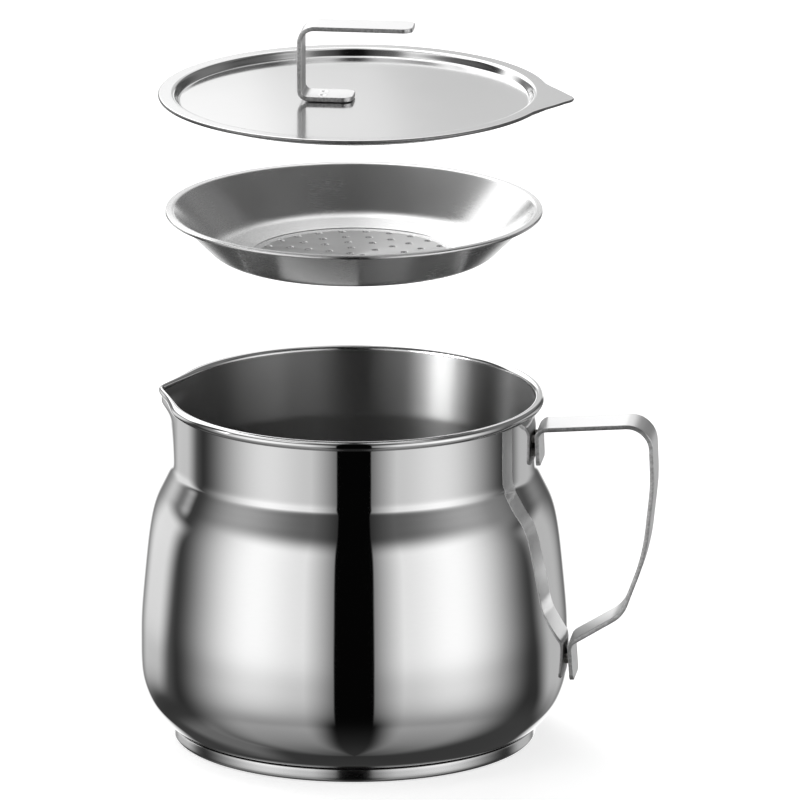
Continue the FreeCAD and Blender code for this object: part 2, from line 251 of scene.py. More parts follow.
def steel(name, tone=0.70, warm=0.0, rough=0.09, rough_amp=0.03, lines="turned", line_depth=0.25e-6,
          line_pitch=0.00035, wave=2.0e-6, streak=0.0, smudge=0.5, aniso=0.0, inside=None, cut=None, disc=None,
          under=None):
    """Stainless sheet: reflecting metal with fine working lines, slight waviness of
    the sheet and soft variation of its polish. lines is turned (rings about Z),
    drawn (straight, along a strip) or ground (straight, along X). inside is
    (roughness, anisotropy, tone) for the satin interior of a pot, its darker tone
    painted shade in the pot's hollow; cut is (tone, roughness) for the sheared edges
    of a strip, which face along Y, their darker tone painted shade on the edges. disc
    is (radius, tone, roughness) for a rougher punched disc round the axis, its darker
    tone painted shade at the bottom of the dish; under is the roughness of faces that
    look down."""
    m = bpy.data.materials.new(name)
    m.use_nodes = True
    g = Nodes(m.node_tree)
    out = g.new("ShaderNodeOutputMaterial")
    bsdf = g.new("ShaderNodeBsdfPrincipled")
    g.link(bsdf.outputs[0], out.inputs["Surface"])
    bsdf.inputs["Metallic"].default_value = 1.0
    bsdf.inputs["Specular IOR Level"].default_value = 0.5
    co = g.new("ShaderNodeTexCoord").outputs["Object"]
    geo = g.new("ShaderNodeNewGeometry").outputs["Normal"]
    sep = g.new("ShaderNodeSeparateXYZ")
    g.link(co, sep.inputs[0])
    x, y, z = sep.outputs
    nor = g.new("ShaderNodeSeparateXYZ")
    g.link(geo, nor.inputs[0])
    nx, ny, nz = nor.outputs
    r = g.math("SQRT", g.math("ADD", g.math("MULTIPLY", x, x), g.math("MULTIPLY", y, y)))
    if lines == "turned":
        ang = g.math("ARCTAN2", y, x)
        along = g.math("MULTIPLY", ang, 0.006)
        line_vec = g.combine(g.math("ADD", r, g.math("MULTIPLY", z, 0.71)), z, along)
    elif lines == "ground":
        line_vec = g.combine(g.math("MULTIPLY", x, 0.02), y, z)
    else:
        line_vec = g.combine(g.math("MULTIPLY", x, 0.03), y, g.math("MULTIPLY", z, 0.03))
    fine = g.noise(line_vec, 1.0 / line_pitch, 3.0, 0.65)
    coarse = g.noise(line_vec, 0.22 / line_pitch, 2.0, 0.6)
    spots = g.noise(co, 38.0, 3.0, 0.6)
    cloud = g.noise(co, 11.0, 2.0, 0.5)
    # colour: slight darkening where the polish is duller
    mix = g.new("ShaderNodeMix", data_type="RGBA")
    g.put(mix.inputs["Factor"], g.ramp(g.math("ADD", g.math("MULTIPLY", cloud, 0.65), g.math("MULTIPLY", fine, 0.35)),
                                        0.3, 0.7))
    lo, hi = tone * 0.98, min(1.0, tone * 1.015)
    mix.inputs[6].default_value = (lo, lo * (1 - warm * 0.5), lo * (1 - warm), 1)
    mix.inputs[7].default_value = (hi, hi * (1 - warm * 0.4), hi * (1 - warm * 0.8), 1)
    colour = mix.outputs[2]
    # roughness: polish varies with the lines and in soft clouds, faint smudges
    rr = g.math("ADD", g.math("MULTIPLY", fine, 0.45), g.math("MULTIPLY", spots, smudge))
    rr = g.math("ADD", rr, g.math("MULTIPLY", cloud, 0.4))
    roughness = g.ramp(rr, 0.35, 1.0, max(0.015, rough - rough_amp), rough + rough_amp)
    if aniso:
        bsdf.inputs["Anisotropic"].default_value = aniso
        bsdf.inputs["Anisotropic Rotation"].default_value = 0.25
        if lines == "turned":
            g.link(g.combine(g.math("MULTIPLY", y, -1.0), x, 0.0), bsdf.inputs["Tangent"])
        elif lines == "ground":
            g.link(g.combine(1.0, 0.0, 0.0), bsdf.inputs["Tangent"])
        else:
            g.link(g.new("ShaderNodeAttribute", attribute_name="run").outputs["Vector"], bsdf.inputs["Tangent"])
    # inside: the satin interior's roughness and anisotropy are its finish; its darker tone is painted shade in the
    # pot's hollow
    if inside:
        facing_in = g.math("MULTIPLY", g.math("DIVIDE", g.math("ADD", g.math("MULTIPLY", nx, x), g.math(
            "MULTIPLY", ny, y)), g.math("MAXIMUM", r, 0.001)), -1.0)
        mask = g.math("MAXIMUM", g.ramp(facing_in, 0.05, 0.25),
                      g.math("MULTIPLY", g.ramp(nz, 0.3, 0.5), g.ramp(z, 0.028, 0.032, 1.0, 0.0)))
        mask = g.math("MULTIPLY", mask, g.ramp(z, 0.1280, 0.1290, 1.0, 0.0))
        rough_in = g.ramp(rr, 0.35, 1.0, inside[0] - 0.05, inside[0] + 0.05)
        roughness = g.math("ADD", g.math("MULTIPLY", rough_in, mask),
                           g.math("MULTIPLY", roughness, g.math("SUBTRACT", 1.0, mask)))
        g.link(g.math("MULTIPLY", mask, inside[1]), bsdf.inputs["Anisotropic"])
        bsdf.inputs["Anisotropic Rotation"].default_value = 0.25
        g.link(g.combine(g.math("MULTIPLY", y, -1.0), x, 0.0), bsdf.inputs["Tangent"])
        # painted shade: darker colour over the pot's interior
        dim = g.new("ShaderNodeMix", data_type="RGBA")
        g.put(dim.inputs["Factor"], mask)
        g.link(colour, dim.inputs[6])
        dim.inputs[7].default_value = (inside[2], inside[2], inside[2], 1)
        colour = dim.outputs[2]
    # cut: the sheared edges are rougher; their darker tone is painted shade, varied by a noise
    if cut:
        if lines == "ground":       # the turned-down edge of a lid faces away from the axis
            edge = g.ramp(g.math("DIVIDE", g.math("ADD", g.math("MULTIPLY", nx, x), g.math("MULTIPLY", ny, y)),
                                 g.math("MAXIMUM", r, 0.001)), 0.45, 0.75)
            edge = g.math("MULTIPLY", edge, g.ramp(r, 0.0695, 0.0700))
        else:
            edge = g.ramp(g.math("ABSOLUTE", ny), 0.72, 0.9)
        roughness = g.math("ADD", g.math("MULTIPLY", roughness, g.math("SUBTRACT", 1.0, edge)),
                           g.math("MULTIPLY", edge, cut[1]))
        torn = g.noise(g.vmath("MULTIPLY", co, (1.0, 1.0, 1.0)), 900.0, 3.0, 0.6)
        # painted shade colour for the edges
        shade = g.new("ShaderNodeMix", data_type="RGBA")
        g.put(shade.inputs["Factor"], g.ramp(torn, 0.3, 0.7))
        shade.inputs[6].default_value = (cut[0] * 0.8, cut[0] * 0.8, cut[0] * 0.8, 1)
        shade.inputs[7].default_value = (cut[0] * 1.2, cut[0] * 1.2, cut[0] * 1.2, 1)
        dim = g.new("ShaderNodeMix", data_type="RGBA")
        g.put(dim.inputs["Factor"], edge)
        g.link(colour, dim.inputs[6])
        g.link(shade.outputs[2], dim.inputs[7])
        colour = dim.outputs[2]
    if under:
        below = g.ramp(nz, -0.6, -0.3, 1.0, 0.0)
        roughness = g.math("ADD", g.math("MULTIPLY", roughness, g.math("SUBTRACT", 1.0, below)),
                           g.math("MULTIPLY", below, g.ramp(rr, 0.35, 1.0, under - 0.05, under + 0.05)))
    # disc: the punched disc is rougher; its darker tone is painted shade at the bottom of the dish
    if disc:
        zone = g.math("MULTIPLY", g.ramp(r, disc[0] - 0.0006, disc[0] + 0.0002, 1.0, 0.0), g.ramp(nz, 0.9, 0.97))
        roughness = g.math("ADD", g.math("MULTIPLY", roughness, g.math("SUBTRACT", 1.0, zone)),
                           g.math("MULTIPLY", zone, g.ramp(rr, 0.35, 1.0, disc[2] - 0.04, disc[2] + 0.04)))
        # painted shade colour for the disc
        painted_disc_shade = g.new("ShaderNodeMix", data_type="RGBA")
        g.put(painted_disc_shade.inputs["Factor"], zone)
        g.link(colour, painted_disc_shade.inputs[6])
        painted_disc_shade.inputs[7].default_value = (disc[1], disc[1], disc[1], 1)
        colour = painted_disc_shade.outputs[2]
    g.link(colour, bsdf.inputs["Base Color"])
    g.link(roughness, bsdf.inputs["Roughness"])
    # normal: sheet waviness, then working lines
    n1 = g.bump(g.noise(co, 24.0, 1.0, 0.4), wave * 40)
    if streak > 0 and lines == "turned":
        sv = g.combine(g.math("MULTIPLY", ang, 0.07), g.math("MULTIPLY", z, 0.06), g.math("MULTIPLY", r, 0.05))
        n1 = g.bump(g.noise(sv, 900.0, 2.0, 0.6), streak, n1)
    n2 = g.bump(g.math("ADD", g.math("MULTIPLY", fine, 0.6), g.math("MULTIPLY", coarse, 0.8)), line_depth, n1)
    g.link(n2, bsdf.inputs["Normal"])
    return m


# inside tone 0.42 is painted shade in the pot's hollow
pot_mat = steel("pot_steel", tone=0.71, rough=0.035, rough_amp=0.012, streak=0.6e-6, wave=0.8e-6,
                line_depth=0.1e-6, inside=(0.35, 1.0, 0.42))
base_mat = steel("base_steel", tone=0.68, rough=0.12, rough_amp=0.03, line_depth=0.4e-6)
# disc tone 0.40 is painted shade at the bottom of the dish
strainer_mat = steel("strainer_steel", tone=0.76, rough=0.26, rough_amp=0.04, line_depth=0.1e-6, wave=0.1e-6,
                     aniso=0.85, disc=(0.0356, 0.40, 0.30))
# cut tone 0.26 is painted shade on the lid's turned-down edge
lid_mat = steel("lid_steel", tone=0.73, rough=0.13, rough_amp=0.03, line_depth=0.2e-6, wave=0.2e-6, lines="ground",
                cut=(0.26, 0.40), under=0.42)
# cut tone 0.62 is painted shade on the handles' sheared edges
handle_mat = steel("handle_steel", tone=0.80, rough=0.34, rough_amp=0.05, lines="drawn", line_depth=0.5e-6,
                   wave=0.5e-6, aniso=0.9, cut=(0.62, 0.34))
weld_mat = steel("weld_steel", tone=0.45, warm=0.06, rough=0.38, rough_amp=0.08, line_depth=2e-6, smudge=0.8)
core_mat = steel("core_aluminium", tone=0.75, rough=0.32, rough_amp=0.06, line_depth=2e-6, line_pitch=0.0008)

# ----------------------------------------------------------------- pot shell
SHEET = 0.8
POT_WALL = [(58.5, 4.7), (61.5, 4.7), (64.0, 4.78), (65.7, 5.07), (67.2, 5.65),
            (68.5, 6.4), (69.6, 7.3), (71.5, 9.3), (73.75, 12.0), (76.1, 15.6),
            (77.7, 19.5), (78.9, 24.5), (79.4, 30.5), (79.45, 37.5), (79.3, 45.5),
            (78.6, 55.5), (77.75, 64.5), (76.8, 73.5), (76.0, 79.5), (75.3, 83.5),
            (74.5, 87.0), (73.4, 90.5), (72.68, 92.3), (71.85, 94.1), (70.95, 95.9),
            (70.05, 97.7), (69.15, 99.5), (68.4, 101.0), (67.9, 102.0), (67.55, 102.8),
            (67.33, 103.6), (67.23, 104.6), (67.2, 106.5)]
NECK_R, RIM_TOP, BEAD_R = 67.2, 130.1, 1.85
LIP_REACH, LIP_HALF = 4.9, math.radians(20.0)
LIP_BEAD, LIP_RAISE = 0.87, 0.3


def lip_plan(th):
    e = math.radians(1.8)
    t = math.sqrt(th * th + e * e) - 0.35 * e
    if t >= LIP_HALF:
        return 0.0
    return (1.0 / math.cos(LIP_HALF - t) - 1.0) / (1.0 / math.cos(LIP_HALF) - 1.0)


def lip_height(z):
    s = min(1.0, max(0.0, (z - 106.5) / 18.5))
    return min(1.0, 0.68 * s * s / (s + 0.1) + 0.38 * smooth((s - 0.75) / 0.25))


neck_zs = [108.5, 110.5, 112.5, 114.5, 118.0, 122.5, 127.5]
wall = even_samples(POT_WALL + [(NECK_R, z) for z in neck_zs], 230)
wall = wall[wall[:, 1] < 125.8]


def pot_section(th):
    g = lip_plan(th)
    wide = 1.0 - smooth((abs(th) - math.radians(7.0)) / math.radians(21.0))
    a = BEAD_R - (BEAD_R - LIP_BEAD) * wide
    b = BEAD_R - 0.45 * wide
    zc = RIM_TOP - b + LIP_RAISE * g
    r_in = NECK_R - SHEET + LIP_REACH * g
    r_out = r_in + SHEET
    rc = r_in + a
    f0 = -math.acos(max(-1.0, min(1.0, (r_out - rc) / a)))
    zj = zc + b * math.sin(f0)
    pts = []
    for r, z, _, _ in wall:
        pts.append((r + LIP_REACH * g * lip_height(z), z))
    z0 = wall[-1][1]
    for k in (0.35, 0.65, 0.85, 0.95, 0.985, 1.0):
        pts.append((r_out, z0 + (zj - z0) * k))
    fs = [f0 + 0.03, f0 + 0.1] + [f0 + (math.pi - f0) * i / 30 for i in range(2, 31)]
    for f in fs:
        pts.append((rc + a * math.cos(f), zc + b * math.sin(f)))
    for k in (0.2, 0.5, 0.8):
        pts.append((r_in, zc + (z0 - zc) * k))
    for r, z, nx, nz in wall[::-1]:
        pts.append((r + nx * SHEET + LIP_REACH * g * lip_height(z), z + nz * SHEET))
    return pts


def around(dense):
    """Angles round the axis, closer together near the given directions (degrees)."""
    out, a = [], 0.0
    while a < 359.999:
        out.append(a)
        d = min(abs((a - c + 180) % 360 - 180) for c in dense) if dense else 99
        a += 0.25 if d < 4.0 else (0.5 if d < 26.0 else 1.0)
    return out


angles = around([180.0])
b = Builder()
rows = []
low, high = b.points([(0, 0, 4.7), (0, 0, 5.5)])
for deg in angles:
    a = math.radians(deg)
    th = a - math.pi
    th = (th + math.pi) % (2 * math.pi) - math.pi
    sec = pot_section(th)
    sec = [(r, 4.7) for r in (18.0, 36.0, 50.0)] + sec + [(r, 5.5) for r in (55.0, 50.0, 43.0, 36.0, 27.0, 18.0, 9.0)]
    rows.append(b.points([(r * math.cos(a), r * math.sin(a), z) for r, z in sec]))
b.grid(rows, close_rows=True)
b.fan(low, [r[0] for r in rows])
b.fan(high, [r[-1] for r in rows])
b.make("pot_shell_visual", "pot", ["pot_shell"], "pot_steel", pot_mat)

# ------------------------------------------------------------ base cup (foot)
b = Builder()
cup = [(20.0, 0.0), (45.0, 0.0), (60.0, 0.0), (64.9, 0.0)]
for k in range(0, 11):
    f = math.radians(-90 + 9 * k)
    cup.append((65.2 + 1.8 * math.cos(f), 1.8 + 1.8 * math.sin(f)))
cup += [(67.0, 2.6), (67.0, 3.7), (67.0, 4.6)]
for k in range(1, 8):
    f = math.radians(180 * k / 8)
    cup.append((66.7 + 0.3 * math.cos(f), 4.7 + 0.3 * math.sin(f)))
cup += [(66.4, 4.6), (66.4, 3.4), (66.4, 1.8)]
for k in range(1, 9):
    f = math.radians(-90 * k / 8)
    cup.append((65.2 + 1.2 * math.cos(f), 1.8 + 1.2 * math.sin(f)))
cup += [(60.0, 0.6), (45.0, 0.6), (20.0, 0.6)]
low, high = b.points([(0, 0, 0.0), (0, 0, 0.6)])
rows = []
for deg in range(360):
    a = math.radians(deg)
    rows.append(b.points([(r * math.cos(a), r * math.sin(a), z) for r, z in cup]))
b.grid(rows, close_rows=True)
b.fan(low, [r[0] for r in rows])
b.fan(high, [r[-1] for r in rows])
b.make("base_cup_visual", "pot", ["base_cap"], "base_steel", base_mat)


# ------------------------------------------------------------- strip handles
def strip(path, t, w, end_r, z0, dimples, step=0.45, edge=0.34):
    """Bent flat strip with eased edges, rounded corners and pressed weld marks.
    dimples: (distance along the strip, y, side, radius, depth)."""
    line = bent_line(path, step=step, turn=4.0)
    total = line[-1, 4]
    extra = [0.0, 0.03, 0.08, 0.15, 0.24, 0.34] + [end_r * (1 - math.cos(math.radians(f))) for f in
                                                   range(24, 91, 6)]
    extra = [d for d in extra if d < total / 3]
    stations = set(np.round([s for s in line[:, 4] if end_r + 0.3 < s < total - end_r - 0.3], 5))
    stations |= set(np.round(extra, 5)) | set(np.round([total - d for d in extra], 5))
    for s, _, _, r, _ in dimples:
        stations |= set(np.round(np.arange(max(0.5, s - r - 0.6), min(total - 0.5, s + r + 0.6), 0.2), 5))
    stations = sorted(stations)
    kept = [stations[0]]
    for s in stations[1:]:
        if s - kept[-1] > 0.028:
            kept.append(s)
    kept[-1] = total
    b = Builder()
    rows = []
    n_w = int(round(w / 0.42))
    for s in kept:
        x, z, nx, nz = [np.interp(s, line[:, 4], line[:, i]) for i in range(4)]
        ln = math.hypot(nx, nz)
        nx, nz = nx / ln, nz / ln
        d = min(s, total - s)
        hw, ht = w / 2, t / 2
        if d < end_r:
            hw -= end_r - math.sqrt(max(0.0, end_r ** 2 - (end_r - d) ** 2))
        if d < edge:
            cut = edge - math.sqrt(max(0.0, edge ** 2 - (edge - d) ** 2))
            hw, ht = hw - cut, ht - cut
        e = min(edge, ht * 0.95)
        ring = []

        def put(u, v):
            dv = 0.0
            for sd, yd, side, r, depth in dimples:
                if side * v > 0 and abs(v) > ht - 0.02:
                    q = math.hypot(s - sd, u - yd) / r
                    if q < 1.45:
                        dv -= side * depth * (1.0 - smooth((q - 0.25) / 0.75)) * (1.0 if q < 1 else 0.0)
                        dv += side * depth * 0.22 * math.exp(-((q - 1.1) / 0.16) ** 2)
            v += dv
            ring.append((x + nx * v, u, z + nz * v))

        for k in range(n_w + 1):
            put(-(hw - e) + 2 * (hw - e) * k / n_w, ht)
        for k in range(1, 6):
            f = math.radians(90 - 15 * k)
            put(hw - e + e * math.cos(f), ht - e + e * math.sin(f))
        for k in range(0, 6):
            f = math.radians(-15 * k)
            put(hw - e + e * math.cos(f), -(ht - e) + e * math.sin(f))
        for k in range(n_w + 1):
            put((hw - e) - 2 * (hw - e) * k / n_w, -ht)
        for k in range(1, 6):
            f = math.radians(-90 - 15 * k)
            put(-(hw - e) + e * math.cos(f), -(ht - e) + e * math.sin(f))
        for k in range(0, 6):
            f = math.radians(180 - 15 * k)
            put(-(hw - e) + e * math.cos(f), ht - e + e * math.sin(f))
        rows.append(b.points([(px, py, pz + z0) for px, py, pz in ring], (nz, 0.0, -nx)))
    b.grid(rows, close_cols=True)
    # flat end faces, closed as a grid between the two long sides
    for row in (rows[0], rows[-1]):
        m = len(row)
        half = m // 2
        top = row[:half]
        bottom = row[half:][::-1]
        if len(top) == len(bottom):
            b.grid([top, bottom])
    return b


HANDLE = [((69.0, 106.1), 0.0), ((68.45, 119.85), 3.2), ((110.35, 122.9), 9.0), ((111.3, 100.5), 70.0),
          ((108.4, 73.4), 80.0), ((99.95, 50.45), 12.0), ((80.65, 38.6), 3.0), ((81.6, 24.6), 0.0)]
handle_len = bent_line(HANDLE, 0.45, 4.0)[-1, 4]
marks = [(4.4, -4.0, -1, 1.9, 0.14), (4.4, 4.0, -1, 1.9, 0.14), (9.4, -4.0, -1, 1.9, 0.12), (9.4, 4.0, -1, 1.9, 0.12),
         (handle_len - 7.45, -4.0, 1, 2.0, 0.14), (handle_len - 7.45, 4.0, 1, 2.0, 0.14)]
strip(HANDLE, 1.7, 16.8, 2.2, 0.0, marks).make("pot_handle_visual", "pot", ["pot_handle"], "handle_steel", handle_mat)

# ------------------------------------------------------------- strainer dish
STR_PATH = [((68.6, -0.35), 0.0), ((66.65, -0.35), 1.4), ((50.92, -16.08), 9.5),
            ((38.7, -17.68), 0.7), ((38.1, -18.10), 0.7), ((36.3, -18.10), 0.0)]
HOLES = [(3.2, 3, 125.6), (10.9, 7, 102.6), (18.9, 13, 103.6), (26.3, 19, 103.6), (34.1, 24, 104.1)]
HOLE_R = 1.15
N_RIM = 360


def profile_offsets(line, t):
    left = [(x + nx * t / 2, z + nz * t / 2) for x, z, nx, nz, _ in line]
    right = [(x - nx * t / 2, z - nz * t / 2) for x, z, nx, nz, _ in line]
    return left, right


line = bent_line(STR_PATH, step=0.9, turn=5.0)
under, over = profile_offsets(line, 0.7)
rim = []                                   # from the upper flange edge round to the hem's inner lip
for k in range(0, 9):
    f = math.radians(90 - 180 * k / 8)
    rim.append((68.7 + 0.7 * math.cos(f), -0.7 + 0.7 * math.sin(f)))
rim += [(68.3, -1.4), (67.9, -1.4), (67.62, -1.38), (67.5, -1.26), (67.5, -1.0), (67.55, -0.76), (67.7, -0.7)]
outer_to_in = over[::-1] + rim + [p for p in under if p[0] < 67.6]
b = Builder()
rows = []
for i in range(N_RIM):
    a = 2 * math.pi * i / N_RIM
    rows.append(b.points([(r * math.cos(a), r * math.sin(a), z + STR_Z) for r, z in outer_to_in]))
b.grid(rows, close_rows=True)
# the flat perforated disc: flat triangles between ring loops, then each hole's wall
r_edge, z_top, z_bot = over[-1][0], over[-1][1], under[-1][1]
flat = [Vector((r_edge * math.cos(2 * math.pi * i / N_RIM), r_edge * math.sin(2 * math.pi * i / N_RIM)))
        for i in range(N_RIM)]
edges = [(i, (i + 1) % N_RIM) for i in range(N_RIM)]
centres, K = [], 22
for rad, n, phase in HOLES:
    for k in range(n):
        a = math.radians(phase + 360.0 * k / n)
        centres.append((rad * math.cos(a), rad * math.sin(a)))
for cx, cy in centres:
    s = len(flat)
    flat += [Vector((cx + (HOLE_R + 0.62) * math.cos(2 * math.pi * j / K), cy + (HOLE_R + 0.62) * math.sin(2 * math.pi * j / K)))
             for j in range(K)]
    edges += [(s + j, s + (j + 1) % K) for j in range(K)]
co2, _, tris, _, _, _ = geometry.delaunay_2d_cdt(flat, edges, [], 0, 1e-6)
cen = np.array(centres)
top_ids = b.points([(p.x, p.y, z_top + STR_Z) for p in co2])
bot_ids = b.points([(p.x, p.y, z_bot + STR_Z) for p in co2])
for f in tris:
    mx = sum(co2[i].x for i in f) / len(f)
    my = sum(co2[i].y for i in f) / len(f)
    if math.hypot(mx, my) > r_edge or np.min(np.hypot(cen[:, 0] - mx, cen[:, 1] - my)) < HOLE_R + 0.6:
        continue
    b.f.append(tuple(top_ids[i] for i in f))
    b.f.append(tuple(bot_ids[i] for i in reversed(f)))
for cx, cy in centres:
    loops = [(0.62, z_top), (0.34, z_top - 0.012), (0.2, z_top - 0.045), (0.08, z_top - 0.12), (0.015, z_top - 0.22),
             (0.0, z_top - 0.34), (0.0, z_bot + 0.1), (0.03, z_bot + 0.02), (0.1, z_bot), (0.62, z_bot)]
    rings = [b.points([(cx + (HOLE_R + d) * math.cos(2 * math.pi * j / K), cy + (HOLE_R + d) * math.sin(2 * math.pi * j / K),
                        z + STR_Z) for j in range(K)]) for d, z in loops]
    b.grid(rings, close_cols=True)
b.make("strainer_dish_visual", "strainer", ["strainer_dish"], "strainer_steel", strainer_mat)

# ----------------------------------------------------------------- lid plate
WELL_R, WELL_DEPTH, DOME, LSHEET = 64.25, 3.0, 0.25, 0.8
DOME_R = (WELL_R ** 2 + DOME ** 2) / (2 * DOME)
dome_top = -WELL_DEPTH + DOME
dome_c = dome_top - LSHEET / 2 - DOME_R


def dome_z(r):
    return dome_c + math.sqrt(DOME_R ** 2 - r * r)


JOIN = 60.0
slope = -JOIN / math.sqrt(DOME_R ** 2 - JOIN ** 2)
corner_r = WELL_R + 0.25
lid_path = [((JOIN, dome_z(JOIN)), 0.0), ((corner_r, dome_z(JOIN) + slope * (corner_r - JOIN)), 1.5),
            ((66.3, -LSHEET / 2), 1.4), ((69.3, -LSHEET / 2), 0.0)]
centre_line = []
for k in range(1, 40):
    r = JOIN * k / 40
    a = math.asin(r / DOME_R)
    centre_line.append((r, dome_z(r), -math.sin(a) * -1.0, math.cos(a), 0.0))
centre_line += [tuple(p) for p in bent_line(lid_path, step=0.8, turn=5.0)]
lid_over, lid_under = profile_offsets(centre_line, LSHEET)

tab_deg = [(0.0, 81.0), (0.8, 80.9), (1.6, 80.6), (2.3, 80.14), (2.95, 79.51), (3.6, 78.93), (4.5, 78.27), (5.5, 77.64),
           (6.5, 77.03), (8.0, 76.1), (9.5, 75.17), (11.0, 74.3), (12.5, 73.55), (14.0, 72.93), (15.5, 72.4),
           (16.8, 72.0), (18.0, 71.82), (19.5, 71.8)]


def lid_edge(th_deg):
    t = abs((th_deg + 180) % 360 - 180)
    if t >= 19.5:
        return 71.8
    xs = np.array([p[0] for p in tab_deg])
    ys = np.array([p[1] for p in tab_deg])
    d = np.diff(ys) / np.diff(xs)                      # monotone cubic between the points
    m = np.zeros(len(xs))
    for i in range(1, len(xs) - 1):
        if d[i - 1] * d[i] > 0:
            m[i] = 2 * d[i - 1] * d[i] / (d[i - 1] + d[i])
    i = min(len(xs) - 2, int(np.searchsorted(xs, t, side="right") - 1))
    h = xs[i + 1] - xs[i]
    u = (t - xs[i]) / h
    return float(ys[i] * (2 * u ** 3 - 3 * u ** 2 + 1) + h * m[i] * (u ** 3 - 2 * u ** 2 + u)
                 + ys[i + 1] * (3 * u ** 2 - 2 * u ** 3) + h * m[i + 1] * (u ** 3 - u ** 2))


b = Builder()
rows = []
low, high = b.points([(0, 0, dome_top + LID_Z), (0, 0, dome_top - LSHEET + LID_Z)])
for deg in around([0.0]):
    a = math.radians(deg)
    R = lid_edge(deg)
    reach = smooth((R - 71.8) / 3.0)
    th = 1.4 - 0.4 * reach
    e = 0.62 - 0.22 * reach
    r0 = lid_over[-1][0]
    sec = [p for p in lid_over]
    for k in (0.25, 0.5, 0.75, 0.92, 1.0):
        sec.append((r0 + (R - e - r0) * k, 0.0))
    for k in range(1, 7):
        f = math.radians(90 - 15 * k)
        sec.append((R - e + e * math.cos(f), -e + e * math.sin(f)))
    for k in range(0, 7):
        f = math.radians(-15 * k)
        sec.append((R - e + e * math.cos(f), -th + e + e * math.sin(f)))
    r1 = 70.05
    for k in (0.1, 0.35, 0.7, 1.0):
        sec.append((R - e + (r1 - R + e) * k, -th))
    sec += [(69.93, -th + 0.04), (69.9, -th + 0.14), (69.9, -0.95 if th > 1.2 else -th + 0.16), (69.8, -0.82), (69.6, -0.8)]
    sec += lid_under[::-1]
    rows.append(b.points([(r * math.cos(a), r * math.sin(a), z + LID_Z) for r, z in sec]))
b.grid(rows, close_rows=True)
b.fan(low, [r[0] for r in rows])
b.fan(high, [r[-1] for r in rows])
b.make("lid_plate_visual", "lid", ["lid_plate"], "lid_steel", lid_mat)

# ---------------------------------------------------------------- lid handle
foot_z = dome_top + 0.3 + 0.85
LID_HANDLE = [((0.1, foot_z), 0.0), ((-19.4, foot_z), 3.1), ((-19.4, 24.9), 5.4), ((22.2, 24.9), 0.0)]
marks = [(11.1, -2.7, -1, 1.25, 0.32), (11.1, 2.7, -1, 1.25, 0.28)]
strip(LID_HANDLE, 1.7, 13.2, 3.9, LID_Z, marks, step=0.4, edge=0.3).make(
    "lid_handle_visual", "lid", ["lid_handle"], "handle_steel", handle_mat)

# the small CAD pieces that stay as they are
for node, mat in (("handle_upper_welds", weld_mat), ("handle_lower_welds", weld_mat), ("lid_handle_welds", weld_mat),
                  ("base_core", core_mat)):
    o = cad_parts[node]
    o.data.materials.clear()
    o.data.materials.append(mat)

# --------------------------------------------------------------------- floor
fb = []
nr, na = 26, 96
for i in range(1, nr + 1):
    r = 0.12 * (1.32 ** i)
    for j in range(na):
        a = 2 * math.pi * j / na
        fb.append((r * math.cos(a), r * math.sin(a), -0.0003))
fb.append((0, 0, -0.0003))
ff = [(len(fb) - 1, j, (j + 1) % na) for j in range(na)]
for i in range(nr - 1):
    for j in range(na):
        ff.append((i * na + j, (i + 1) * na + j, (i + 1) * na + (j + 1) % na, i * na + (j + 1) % na))
fm = bpy.data.meshes.new("studio_floor")
fm.from_pydata(fb, [], ff)
fm.update()
floor = bpy.data.objects.new("studio_floor", fm)
bpy.context.scene.collection.objects.link(floor)
m = bpy.data.materials.new("floor_paper")
m.use_nodes = True
g = Nodes(m.node_tree)
out = g.new("ShaderNodeOutputMaterial")
bs = g.new("ShaderNodeBsdfPrincipled")
g.link(bs.outputs[0], out.inputs["Surface"])
bs.inputs["Roughness"].default_value = 0.9
bs.inputs["Specular IOR Level"].default_value = 0.0
bs.inputs["Emission Color"].default_value = (1, 1, 1, 1)
bs.inputs["Emission Strength"].default_value = 0.62
mx = g.new("ShaderNodeMix", data_type="RGBA")
g.put(mx.inputs["Factor"], g.noise(g.new("ShaderNodeTexCoord").outputs["Object"], 9.0, 3.0))
mx.inputs[6].default_value = (0.93, 0.93, 0.93, 1)
mx.inputs[7].default_value = (0.95, 0.95, 0.95, 1)
g.link(mx.outputs[2], bs.inputs["Base Color"])
floor.data.materials.append(m)
floor.visible_glossy = False

# -------------------------------------------------------------------- studio
world = bpy.data.worlds.new("studio")
bpy.context.scene.world = world
world.use_nodes = True
g = Nodes(world.node_tree)
out = g.new("ShaderNodeOutputWorld")
d = g.new("ShaderNodeTexCoord").outputs["Generated"]
toward = (math.sin(AZ), -math.cos(AZ), 0.0)
right = (math.cos(AZ), math.sin(AZ), 0.0)
az = g.math("MULTIPLY", g.math("ARCTAN2", g.vmath("DOT_PRODUCT", d, right), g.vmath("DOT_PRODUCT", d, toward)), 180 / math.pi)
up = g.vmath("DOT_PRODUCT", d, (0.0, 0.0, 1.0))
el = g.math("MULTIPLY", g.math("ARCSINE", up), 180 / math.pi)
aaz = g.math("ABSOLUTE", az)
left = g.math("SUBTRACT", az, g.math("MULTIPLY", g.math("GREATER_THAN", az, 0.0), 360.0))     # -360 to 0
right_a = g.math("ADD", az, g.math("MULTIPLY", g.math("LESS_THAN", az, 0.0), 360.0))          # 0 to 360


def band(v, lo, lo_soft, hi, hi_soft):
    return g.math("MULTIPLY", g.ramp(v, lo - lo_soft, lo + lo_soft), g.ramp(v, hi - hi_soft, hi + hi_soft, 1.0, 0.0))


def panel(strength, *parts):
    v = strength
    for p in parts:
        v = g.math("MULTIPLY", p, v)
    return v


def tilted(v, k):
    return g.math("ADD", v, g.math("MULTIPLY", el, k))


